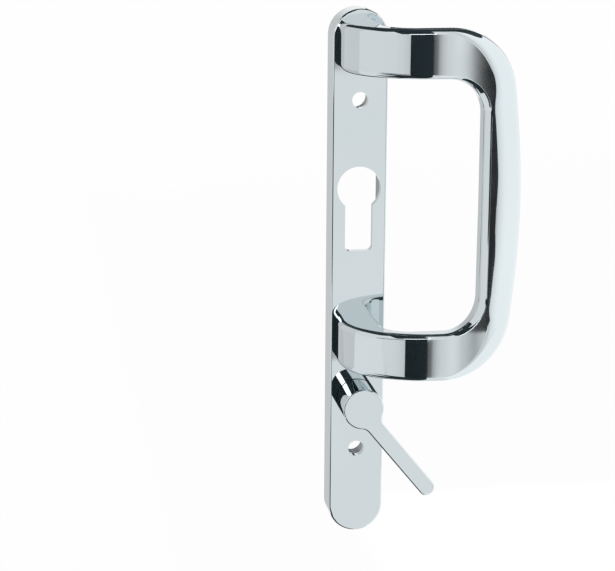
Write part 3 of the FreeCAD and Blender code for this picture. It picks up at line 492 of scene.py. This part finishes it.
# The sizes that follow from the named ones, and the wave that cuts the flutes into the head's rim.
screw = {label: given[label] for label in screw_sizes}
screw["x"], screw["y"] = where.outputs[0], where.outputs[1]
for result, operation, *terms in [
    ("head radius", "DIVIDE", "Head Diameter", 2.0),
    ("shank radius", "DIVIDE", "Shank Diameter", 2.0),
    ("bevelled radius", "SUBTRACT", "head radius", "Head Bevel"),
    ("bevelled out", "ADD", "Head Out", "Head Bevel"),
    ("seat out", "ADD", "Head Out", "Head Depth"),
    ("point radius", "SUBTRACT", "shank radius", "Head Bevel"),
    ("point out", "SUBTRACT", "Shank End", "Head Bevel"),
    ("points round", "MULTIPLY", "Flutes", POINTS_A_FLUTE),
    ("x squared", "MULTIPLY", "x", "x"),
    ("y squared", "MULTIPLY", "y", "y"),
    ("from axis squared", "ADD", "x squared", "y squared"),
    ("from axis", "SQRT", "from axis squared"),
    ("bearing", "ARCTAN2", "y", "x"),
    ("flute turn", "MULTIPLY", "bearing", "Flutes"),
    ("flute wave", "COSINE", "flute turn"),
    ("flute share", "MULTIPLY_ADD", "flute wave", -0.5, 0.5),
    ("flute cut", "MULTIPLY", "flute share", "Flute Depth"),
    ("rim radius", "MULTIPLY", "head radius", RIM_SHARE),
    ("on rim", "GREATER_THAN", "from axis", "rim radius"),
    ("rim cut", "MULTIPLY", "flute cut", "on rim"),
    ("rim move", "MULTIPLY", "rim cut", -1.0),
    ("pull in", "DIVIDE", "rim move", "from axis"),
    ("move x", "MULTIPLY", "x", "pull in"),
    ("move y", "MULTIPLY", "y", "pull in"),
    ("cutter depth", "MULTIPLY", "Socket Depth", 2.0),
    ("cutter radius", "DIVIDE", "Socket Width", 2 * math.cos(math.pi / SOCKET_SIDES)),
]:
    values = {socket: screw.get(term, term) for socket, term in enumerate(terms)}
    made = add_node(screw_tree, "ShaderNodeMath", values, operation=operation)
    screw[result] = made.outputs[0]

# The outline from the head's middle to the point, turned round a thin rail on the axis.
outline_points = []
for radius, out in [
    (0.0, "Head Out"), ("bevelled radius", "Head Out"), ("head radius", "bevelled out"),
    ("head radius", "seat out"), ("shank radius", "seat out"), ("shank radius", "point out"),
    ("point radius", "Shank End"), (0.0, "Shank End"),
]:
    corner = add_node(
        screw_tree, "ShaderNodeCombineXYZ", {"X": screw.get(radius, radius), "Y": screw[out]}
    )
    from_rail = add_node(
        screw_tree, "ShaderNodeVectorMath",
        {0: corner.outputs[0], 1: (1.0, -1.0, 0.0), 2: (-RAIL_RADIUS, 0.0, 0.0)},
        operation="MULTIPLY_ADD",
    )
    outline_points.append(from_rail.outputs[0])
index = add_node(screw_tree, "GeometryNodeInputIndex").outputs[0]
chosen = add_node(screw_tree, "GeometryNodeIndexSwitch", {"Index": index}, data_type="VECTOR")
for _ in outline_points[2:]:
    chosen.index_switch_items.new()
for number, point in enumerate(outline_points):
    screw_tree.links.new(point, chosen.inputs[number + 1])
line = add_node(screw_tree, "GeometryNodeCurvePrimitiveLine")
spread = add_node(
    screw_tree, "GeometryNodeResampleCurve",
    {"Curve": line.outputs[0], "Count": len(outline_points)}, mode="COUNT",
)
profile = add_node(
    screw_tree, "GeometryNodeSetPosition",
    {"Geometry": spread.outputs[0], "Position": chosen.outputs[0]},
)
axis_ring = add_node(
    screw_tree, "GeometryNodeCurvePrimitiveCircle",
    {"Resolution": screw["points round"], "Radius": RAIL_RADIUS}, mode="RADIUS",
)
turned = add_node(
    screw_tree, "GeometryNodeCurveToMesh",
    {"Curve": axis_ring.outputs[0], "Profile Curve": profile.outputs[0]},
)
flute_move = add_node(
    screw_tree, "ShaderNodeCombineXYZ", {"X": screw["move x"], "Y": screw["move y"]}
)
fluted = add_node(
    screw_tree, "GeometryNodeSetPosition",
    {"Geometry": turned.outputs[0], "Offset": flute_move.outputs[0]},
)
closed = add_node(
    screw_tree, "GeometryNodeMergeByDistance", {"Geometry": fluted.outputs[0], "Distance": POLE_GAP}
)
hexagon = add_node(
    screw_tree, "GeometryNodeMeshCylinder",
    {"Vertices": SOCKET_SIDES, "Radius": screw["cutter radius"], "Depth": screw["cutter depth"]},
    fill_type="NGON",
)
hexagon_place = add_node(screw_tree, "ShaderNodeCombineXYZ", {"Z": given["Head Out"]})
hexagon_set = add_node(
    screw_tree, "GeometryNodeTransform",
    {"Geometry": hexagon.outputs[0], "Translation": hexagon_place.outputs[0]},
)
sunk = add_node(
    screw_tree, "GeometryNodeMeshBoolean",
    {"Mesh 1": closed.outputs[0], "Mesh 2": hexagon_set.outputs[0]},
    operation="DIFFERENCE", solver="EXACT",
)
at_both_feet(screw_tree, given, sunk.outputs[0], zinc_steel)
pull_screws = plain_mesh_of(screw_tree, "pull_screws", screw_sizes)
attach(pull_screws, "handle")
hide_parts("pull_screw_upper", "pull_screw_lower")

washer_sizes = {
    "Middle Radius": 0.003575, "Width": 0.00205, "Thickness": WASHER_THICKNESS, "Slit": 0.0009,
    "Seat Out": SCREW_SEAT_OUT, "Foot X": FOOT_CENTRE_X, "Upper Foot Z": UPPER_FOOT_Z,
    "Foot Spacing": PULL_SPACING / 1000,
}
COIL_POINTS = 72
washer_tree, given = fastener_tree("split_washer", washer_sizes)
washer = {label: given[label] for label in washer_sizes}
for result, operation, *terms in [
    ("slit angle", "DIVIDE", "Slit", "Middle Radius"),
    ("half slit", "DIVIDE", "slit angle", 2.0),
    ("start", "ADD", "half slit", math.pi / 2),
    ("sweep", "SUBTRACT", 2 * math.pi, "slit angle"),
    ("middle out", "MULTIPLY_ADD", "Thickness", 0.5, "Seat Out"),
]:
    values = {socket: washer.get(term, term) for socket, term in enumerate(terms)}
    made = add_node(washer_tree, "ShaderNodeMath", values, operation=operation)
    washer[result] = made.outputs[0]
coil = add_node(
    washer_tree, "GeometryNodeCurveArc",
    {
        "Resolution": COIL_POINTS, "Radius": given["Middle Radius"],
        "Start Angle": washer["start"], "Sweep Angle": washer["sweep"],
    },
    mode="RADIUS",
)
bar = add_node(
    washer_tree, "GeometryNodeCurvePrimitiveQuadrilateral",
    {"Width": given["Width"], "Height": given["Thickness"]}, mode="RECTANGLE",
)
coiled = add_node(
    washer_tree, "GeometryNodeCurveToMesh",
    {"Curve": coil.outputs[0], "Profile Curve": bar.outputs[0], "Fill Caps": True},
)
washer_place = add_node(washer_tree, "ShaderNodeCombineXYZ", {"Z": washer["middle out"]})
washer_set = add_node(
    washer_tree, "GeometryNodeTransform",
    {"Geometry": coiled.outputs[0], "Translation": washer_place.outputs[0]},
)
at_both_feet(washer_tree, given, washer_set.outputs[0], spring_steel)
pull_washers = plain_mesh_of(washer_tree, "pull_washers", washer_sizes)
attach(pull_washers, "handle")
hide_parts("pull_washer_upper", "pull_washer_lower")


# Lever bush: a plain sleeve with a thin flange, injection-moulded in natural nylon and pressed into
# the plate. The lever's neck turns in it, and its flange shows as a fine pale line under the head.

# Natural nylon: a milky, slightly warm white that lets a little light in, with a satin skin from
# the mould and faint flow marks some 3 mm apart.
natural_nylon, tree, place = new_finish("natural_nylon")
milk = add_node(tree, "ShaderNodeTexNoise", {"Vector": place, "Scale": 330.0, "Detail": 2.0})
milk_mix = add_node(
    tree, "ShaderNodeMix",
    {"Factor": milk.outputs["Fac"], "A": linear("#DDDACF"), "B": linear("#EAE8E0")},
    data_type="RGBA",
)
skin_rough = add_node(
    tree, "ShaderNodeMapRange", {"Value": milk.outputs["Fac"], "To Min": 0.38, "To Max": 0.5}
)
nylon = add_node(
    tree, "ShaderNodeBsdfPrincipled",
    {
        "Base Color": milk_mix.outputs["Result"],
        "Roughness": skin_rough.outputs["Result"],
        "IOR": 1.53,
        "Subsurface Weight": 0.15,
        "Subsurface Radius": (0.001, 0.0009, 0.0008),
        "Subsurface Scale": 1.0,
    },
)
add_node(tree, "ShaderNodeOutputMaterial", {"Surface": nylon.outputs["BSDF"]})


def finish_nodes(finish, slot_name, *names):
    """Gives these pieces of the frame their finish."""
    for name in names:
        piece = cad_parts[name]
        for face_finish in piece.material_slots:
            face_finish.material = finish


finish_nodes(natural_nylon, "nylon", "lever_bush")


# Thumb lever: a round head with a flat arm flush with its front, cast in one with the neck that
# passes through the plate, then polished and chromed like the pull.

thumb_lever = joined_copy("thumb_lever", "thumb_lever_casting", chrome_plate)
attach(thumb_lever, "lever")
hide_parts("thumb_lever")


# Behind the plate, in the order that they go on the lever's neck: a waved spring ring, the keyed
# stop washer and the circlip. They are stamped from strip, and the springs are blackened.

finish_nodes(spring_steel, "spring_steel", "wave_washer", "circlip")
finish_nodes(zinc_steel, "steel", "stop_washer")


# Spindle: a length of 6 mm square bright-drawn bar that turns the lock, kept in the lever by a grub
# screw with an oiled black finish.

# Bright-drawn steel: the die leaves fine straight lines along the bar, drawn 0.3 mm apart so that
# they show.
drawn_steel, tree, place = new_finish("bright_drawn_steel")
along_bar = add_node(tree, "ShaderNodeMapping", {"Vector": place, "Scale": (3300.0, 60.0, 3300.0)})
die_lines = add_node(
    tree, "ShaderNodeTexNoise", {"Vector": along_bar.outputs[0], "Scale": 1.0, "Detail": 2.0}
)
die_mix = add_node(
    tree, "ShaderNodeMix",
    {"Factor": die_lines.outputs["Fac"], "A": linear("#A3A6AA"), "B": linear("#CFD0D1")},
    data_type="RGBA",
)
die_rough = add_node(
    tree, "ShaderNodeMapRange", {"Value": die_lines.outputs["Fac"], "To Min": 0.2, "To Max": 0.4}
)
die_bump = add_node(
    tree, "ShaderNodeBump",
    {"Height": die_lines.outputs["Fac"], "Distance": 0.00001, "Strength": 0.5},
)
drawn = add_node(
    tree, "ShaderNodeBsdfPrincipled",
    {
        "Base Color": die_mix.outputs["Result"],
        "Metallic": 1.0,
        "Roughness": die_rough.outputs["Result"],
        "Normal": die_bump.outputs["Normal"],
    },
)
add_node(tree, "ShaderNodeOutputMaterial", {"Surface": drawn.outputs["BSDF"]})
finish_nodes(drawn_steel, "steel", "spindle")
finish_nodes(spring_steel, "spring_steel", "grub_screw")


# Studio: a pale floor well below the handle and a white surround. Chrome shows only what stands
# round it, so matt black flags give its dark bands, and graded screens its soft greys and its
# brightest side.


def stand_panel(name, corners, finish, shown=False):
    """A flat panel of the studio through four corners, in metres."""
    panel = bpy.data.objects.new(name, bpy.data.meshes.new(name))
    bpy.context.scene.collection.objects.link(panel)
    panel.data.from_pydata(corners, [], [(0, 1, 2, 3)])
    panel.data.materials.append(finish)
    panel.visible_camera = shown


def lying(left, right, near, far, z):
    """The corners of a panel that lies level."""
    return [(left, near, z), (right, near, z), (right, far, z), (left, far, z)]


def facing(left, right, low, high, y):
    """The corners of a panel that stands across the studio."""
    return [(left, y, low), (right, y, low), (right, y, high), (left, y, high)]


def alongside(x, near, far, low, high):
    """The corners of a panel that stands along one side of the studio."""
    return [(x, near, low), (x, far, low), (x, far, high), (x, near, high)]


def shown_share(tree):
    """1 for what the lens, a mirror or glass shows, and 0 for what only lights the handle."""
    rays = add_node(tree, "ShaderNodeLightPath").outputs
    share = rays["Is Camera Ray"]
    for other in ("Is Glossy Ray", "Is Transmission Ray"):
        share = add_node(
            tree, "ShaderNodeMath", {0: share, 1: rays[other]}, operation="MAXIMUM"
        ).outputs[0]
    return share


# Matt white paper sweep: it shows as white to the lens and in the chrome, but keeps some of the
# shadow. Its tone is mottled some 300 mm across, far coarser than its fibres.
WHITE = linear("#FFFFFF")
paper, tree, place = new_finish("paper_sweep")
lit_share = add_node(
    tree, "ShaderNodeMath", {0: shown_share(tree), 1: 0.97}, operation="MULTIPLY"
)
mottle = add_node(tree, "ShaderNodeTexNoise", {"Vector": place, "Scale": 3.0, "Detail": 2.0})
mottle_mix = add_node(
    tree, "ShaderNodeMix",
    {"Factor": mottle.outputs["Fac"], "A": linear("#F3F3F3"), "B": linear("#F7F7F7")},
    data_type="RGBA",
)
matt_paper = add_node(tree, "ShaderNodeBsdfDiffuse", {"Color": mottle_mix.outputs["Result"]})
glow = add_node(tree, "ShaderNodeEmission", {"Color": WHITE, "Strength": 1.0})
sweep_mix = add_node(
    tree, "ShaderNodeMixShader",
    {0: lit_share.outputs[0], 1: matt_paper.outputs[0], 2: glow.outputs[0]},
)
add_node(tree, "ShaderNodeOutputMaterial", {"Surface": sweep_mix.outputs[0]})
FLOOR, FLOOR_HALF = -0.45, 12.0
ON_FLOOR = FLOOR + 0.01
stand_panel(
    "floor", lying(-FLOOR_HALF, FLOOR_HALF, -FLOOR_HALF, FLOOR_HALF, FLOOR), paper, shown=True
)

# Matt black flag cloth. Its tone is mottled some 250 mm across, far coarser than its weave.
black_cloth, tree, place = new_finish("black_flag")
nap = add_node(tree, "ShaderNodeTexNoise", {"Vector": place, "Scale": 4.0, "Detail": 1.0})
nap_mix = add_node(
    tree, "ShaderNodeMix",
    {"Factor": nap.outputs["Fac"], "A": linear("#394347"), "B": linear("#3D474B")},
    data_type="RGBA",
)
matt_cloth = add_node(tree, "ShaderNodeBsdfDiffuse", {"Color": nap_mix.outputs["Result"]})
add_node(tree, "ShaderNodeOutputMaterial", {"Surface": matt_cloth.outputs[0]})

# The screens stand in one plane behind the lens, and cards of cloth just before them. A glow of 1
# is as bright as the surround.
SCREENS = -0.95
CARDS = SCREENS + 0.01


def graded_screen(name, left, right, low, high, levels, y=SCREENS):
    """A lit screen across the studio. Each of its levels is (place across, glow), left to right."""
    brightest = max(strength for _, strength in levels)
    screen, tree, place = new_finish(name)
    across = add_node(tree, "ShaderNodeSeparateXYZ", {0: place})
    share = add_node(
        tree, "ShaderNodeMapRange",
        {"Value": across.outputs[0], "From Min": left, "From Max": right},
    )
    grade = add_node(tree, "ShaderNodeValToRGB", {0: share.outputs[0]})
    stops = grade.color_ramp.elements
    for x, _ in levels[1:-1]:
        stops.new((x - left) / (right - left))
    for stop, (x, strength) in zip(stops, levels):
        stop.position = (x - left) / (right - left)
        stop.color = (strength / brightest, strength / brightest, strength / brightest, 1.0)
    lit = add_node(tree, "ShaderNodeEmission", {"Color": grade.outputs[0], "Strength": brightest})
    add_node(tree, "ShaderNodeOutputMaterial", {"Surface": lit.outputs[0]})
    stand_panel(name, facing(left, right, low, high, y), screen)


def lit_wall(name, strength, corners):
    """A panel that glows evenly."""
    wall, tree, _ = new_finish(name)
    lit = add_node(tree, "ShaderNodeEmission", {"Color": WHITE, "Strength": strength})
    add_node(tree, "ShaderNodeOutputMaterial", {"Surface": lit.outputs[0]})
    stand_panel(name, corners, wall)


# A black flag behind the lens gives the dark band across each arm. Its right edge is soft where the
# arms see it. Cloth on the floor draws the dark lines along the lever and the lower edges.
FLAG_LEFT, FLAG_RIGHT, FLAG_TOP, SOFT_END, CLOTH_END = -0.384, 0.045, 0.1, 0.262, 0.05
stand_panel("flag_by_lens", facing(FLAG_LEFT, FLAG_RIGHT, FLOOR, FLAG_TOP, SCREENS), black_cloth)
stand_panel("flag_on_floor", lying(-1.0, CLOTH_END, SCREENS, -0.4, ON_FLOOR), black_cloth)
stand_panel("flag_under_lever", lying(-0.35, CLOTH_END, -0.4, 0.05, ON_FLOOR), black_cloth)
for side, low, high in [("upper", -0.041, 0.002), ("lower", -0.308, -0.267)]:
    graded_screen(
        f"soft_edge_{side}", FLAG_RIGHT, SOFT_END, low, high,
        [
            (FLAG_RIGHT, 0.06), (0.07, 0.15), (0.118, 0.24), (0.155, 0.5), (0.2, 0.68),
            (0.236, 0.82), (0.244, 0.9), (0.251, 1.03), (0.2545, 0.99), (0.259, 0.86),
            (SOFT_END, 0.7),
        ],
    )

# A strip of light above that flag gives the arms' upper edges a white line, and the cloth that
# leans back over it draws the dark line above.
LIGHT_TOP, OVERHEAD, OVERHEAD_NEAR = 0.22, 0.95, -0.5
graded_screen("light_over_flag", -0.43, 0.1, FLAG_TOP, LIGHT_TOP, [(-0.43, 3.0), (0.1, 3.0)])
stand_panel(
    "flag_over_light",
    [
        (-0.6, SCREENS, LIGHT_TOP), (CLOTH_END, SCREENS, LIGHT_TOP),
        (CLOTH_END, OVERHEAD_NEAR, OVERHEAD), (-0.6, OVERHEAD_NEAR, OVERHEAD),
    ],
    black_cloth,
)

# The second flag darkens the outer corner and draws the line along the grip. Beyond it the light
# climbs to its brightest, which fills the grip's round outside.
FLAG_FOOT, FLAG_HEAD, FLAG_END = -0.268, -0.012, 0.36
RIGHT_WALL, RIGHT_WALL_FAR, SIDE_TOP, SIDE_GLOW = 1.0, 0.95, 2.0, 1.21
graded_screen(
    "flag_on_right", SOFT_END, FLAG_END, FLAG_FOOT, FLAG_HEAD,
    [
        (SOFT_END, 0.7), (0.265, 0.42), (0.267, 0.24), (0.2695, 0.13), (0.2712, 0.033),
        (0.335, 0.033), (FLAG_END, 0.5),
    ],
)
graded_screen(
    "under_flag_on_right", SOFT_END, FLAG_END, FLOOR, FLAG_FOOT,
    [(SOFT_END, 0.8), (0.272, 0.5), (0.28, 0.8), (FLAG_END, 1.1)],
)
graded_screen(
    "over_flag_on_right", SOFT_END, FLAG_END, FLAG_HEAD, SIDE_TOP,
    [(SOFT_END, 0.8), (0.272, 0.75), (0.282, 0.92), (FLAG_END, 1.1)],
)
graded_screen(
    "screen_on_right", FLAG_END, RIGHT_WALL, FLOOR, SIDE_TOP,
    [
        (FLAG_END, 0.6), (0.4, 0.76), (0.45, 0.88), (0.5, 0.97), (0.61, 1.06), (0.74, 1.14),
        (RIGHT_WALL, SIDE_GLOW),
    ],
)
lit_wall(
    "wall_on_right", SIDE_GLOW, alongside(RIGHT_WALL, SCREENS, RIGHT_WALL_FAR, FLOOR, SIDE_TOP)
)
lit_wall(
    "sheet_on_right", SIDE_GLOW, lying(0.17, RIGHT_WALL, -0.85, RIGHT_WALL_FAR, ON_FLOOR)
)

# Three black cards before those screens widen the grip's dark line towards both corners.
CARD_LEFT = 0.335
for name, low, low_right, high, high_right in [
    ("card_by_lower_corner", FLAG_FOOT, 0.45, -0.213, FLAG_END),
    ("card_by_upper_corner", -0.155, FLAG_END, -0.09, 0.43),
    ("card_over_corner", -0.09, 0.43, FLAG_HEAD, 0.4),
]:
    stand_panel(
        name,
        [
            (CARD_LEFT, CARDS, low), (low_right, CARDS, low),
            (high_right, CARDS, high), (CARD_LEFT, CARDS, high),
        ],
        black_cloth,
    )

# Left of the first flag a screen and a wall light the foot of each arm, and two low flags before
# them draw the dark line along the plate's rounded edge. Greyer panels behind tone down the plate's
# narrow side.
LEFT_WALL, GREY_FROM, BACK_WALL, WALL_TOP = -1.6, 0.25, 2.5, 2.5
graded_screen(
    "screen_on_left", LEFT_WALL, FLAG_LEFT, FLOOR, 0.5,
    [(LEFT_WALL, 0.94), (-0.8, 0.93), (-0.55, 0.88), (-0.43, 0.8), (FLAG_LEFT, 0.74)],
)
stand_panel("flag_on_left", facing(-0.75, FLAG_LEFT, -0.25, -0.08, CARDS), black_cloth)
stand_panel(
    "flag_far_left",
    [(-1.59, CARDS, -0.44), (-0.75, CARDS, -0.3), (-0.75, CARDS, -0.085), (-1.59, CARDS, -0.2)],
    black_cloth,
)
lit_wall("wall_on_left", 0.94, alongside(LEFT_WALL, SCREENS, GREY_FROM, FLOOR, WALL_TOP))
lit_wall("grey_wall_on_left", 0.82, alongside(LEFT_WALL, GREY_FROM, BACK_WALL, FLOOR, WALL_TOP))
graded_screen(
    "grey_wall_behind", LEFT_WALL, 0.2, FLOOR, WALL_TOP,
    [(LEFT_WALL, 0.68), (-0.4, 0.68), (0.2, 1.0)], y=BACK_WALL,
)
lit_wall("grey_sheet_behind", 0.68, lying(-1.0, 0.0, 0.3, BACK_WALL, ON_FLOOR))
lit_wall("grey_sheet_on_left", 0.78, lying(LEFT_WALL, -1.0, 0.3, BACK_WALL, ON_FLOOR))

# Black cloth overhead, and a low one behind on the right, darken the upper edges.
stand_panel(
    "flag_overhead",
    [
        (-0.9, OVERHEAD_NEAR, OVERHEAD), (0.9, OVERHEAD_NEAR, OVERHEAD),
        (2.2, 2.4, OVERHEAD), (-0.9, 2.4, OVERHEAD),
    ],
    black_cloth,
)
stand_panel("flag_behind", facing(0.21, 0.6, 0.02, 0.23, RIGHT_WALL_FAR), black_cloth)

# The surround is white to the lens and in the chrome, and lights the handle a little less.
SURROUND_LIGHT = 0.8
world = bpy.data.worlds.new("white_surround")
bpy.context.scene.world = world
world.use_nodes = True
world.node_tree.nodes.clear()
surround_level = add_node(
    world.node_tree, "ShaderNodeMapRange",
    {"Value": shown_share(world.node_tree), "To Min": SURROUND_LIGHT, "To Max": 1.0},
)
surround = add_node(
    world.node_tree, "ShaderNodeBackground",
    {"Color": WHITE, "Strength": surround_level.outputs["Result"]},
)
add_node(world.node_tree, "ShaderNodeOutputWorld", {"Surface": surround.outputs[0]})

# One soft box on the right, turned to the handle. The chrome doesn't show it.
SOFT_BOX_PLACE, SOFT_BOX_WIDTH, SOFT_BOX_HEIGHT, SOFT_BOX_WATTS = (1.1, -0.35, 0.15), 1.0, 0.9, 3.6
soft_box = bpy.data.objects.new("soft_box", bpy.data.lights.new("soft_box", "AREA"))
bpy.context.scene.collection.objects.link(soft_box)
soft_box.data.shape = "RECTANGLE"
soft_box.data.size, soft_box.data.size_y = SOFT_BOX_WIDTH, SOFT_BOX_HEIGHT
soft_box.data.energy = SOFT_BOX_WATTS
soft_box.location = SOFT_BOX_PLACE
soft_box.rotation_euler = (-soft_box.location).to_track_quat("-Z", "Y").to_euler()
soft_box.visible_glossy = False


# Camera: a long lens from the handle's upper left, some 0.75 m away. It is turned to the handle and
# not shifted, so the verticals lean a little.

CAMERA_PLACE, CAMERA_TURN, CAMERA_DIP, CAMERA_ROLL = (-0.1391, -0.742, 0.1808), -9.15, 13.91, -0.33
FILM_WIDTH, FOCAL_LENGTH = 36.0, 112.05
camera = bpy.data.objects.new("camera", bpy.data.cameras.new("camera"))
bpy.context.scene.collection.objects.link(camera)
camera.location = CAMERA_PLACE
camera.rotation_euler = (
    math.radians(90 - CAMERA_DIP), math.radians(CAMERA_ROLL), math.radians(CAMERA_TURN)
)
camera.data.sensor_width = FILM_WIDTH
camera.data.lens = FOCAL_LENGTH
camera.data.clip_start, camera.data.clip_end = 0.01, 20.0
bpy.context.scene.camera = camera
bpy.context.scene.view_settings.view_transform = "Standard"
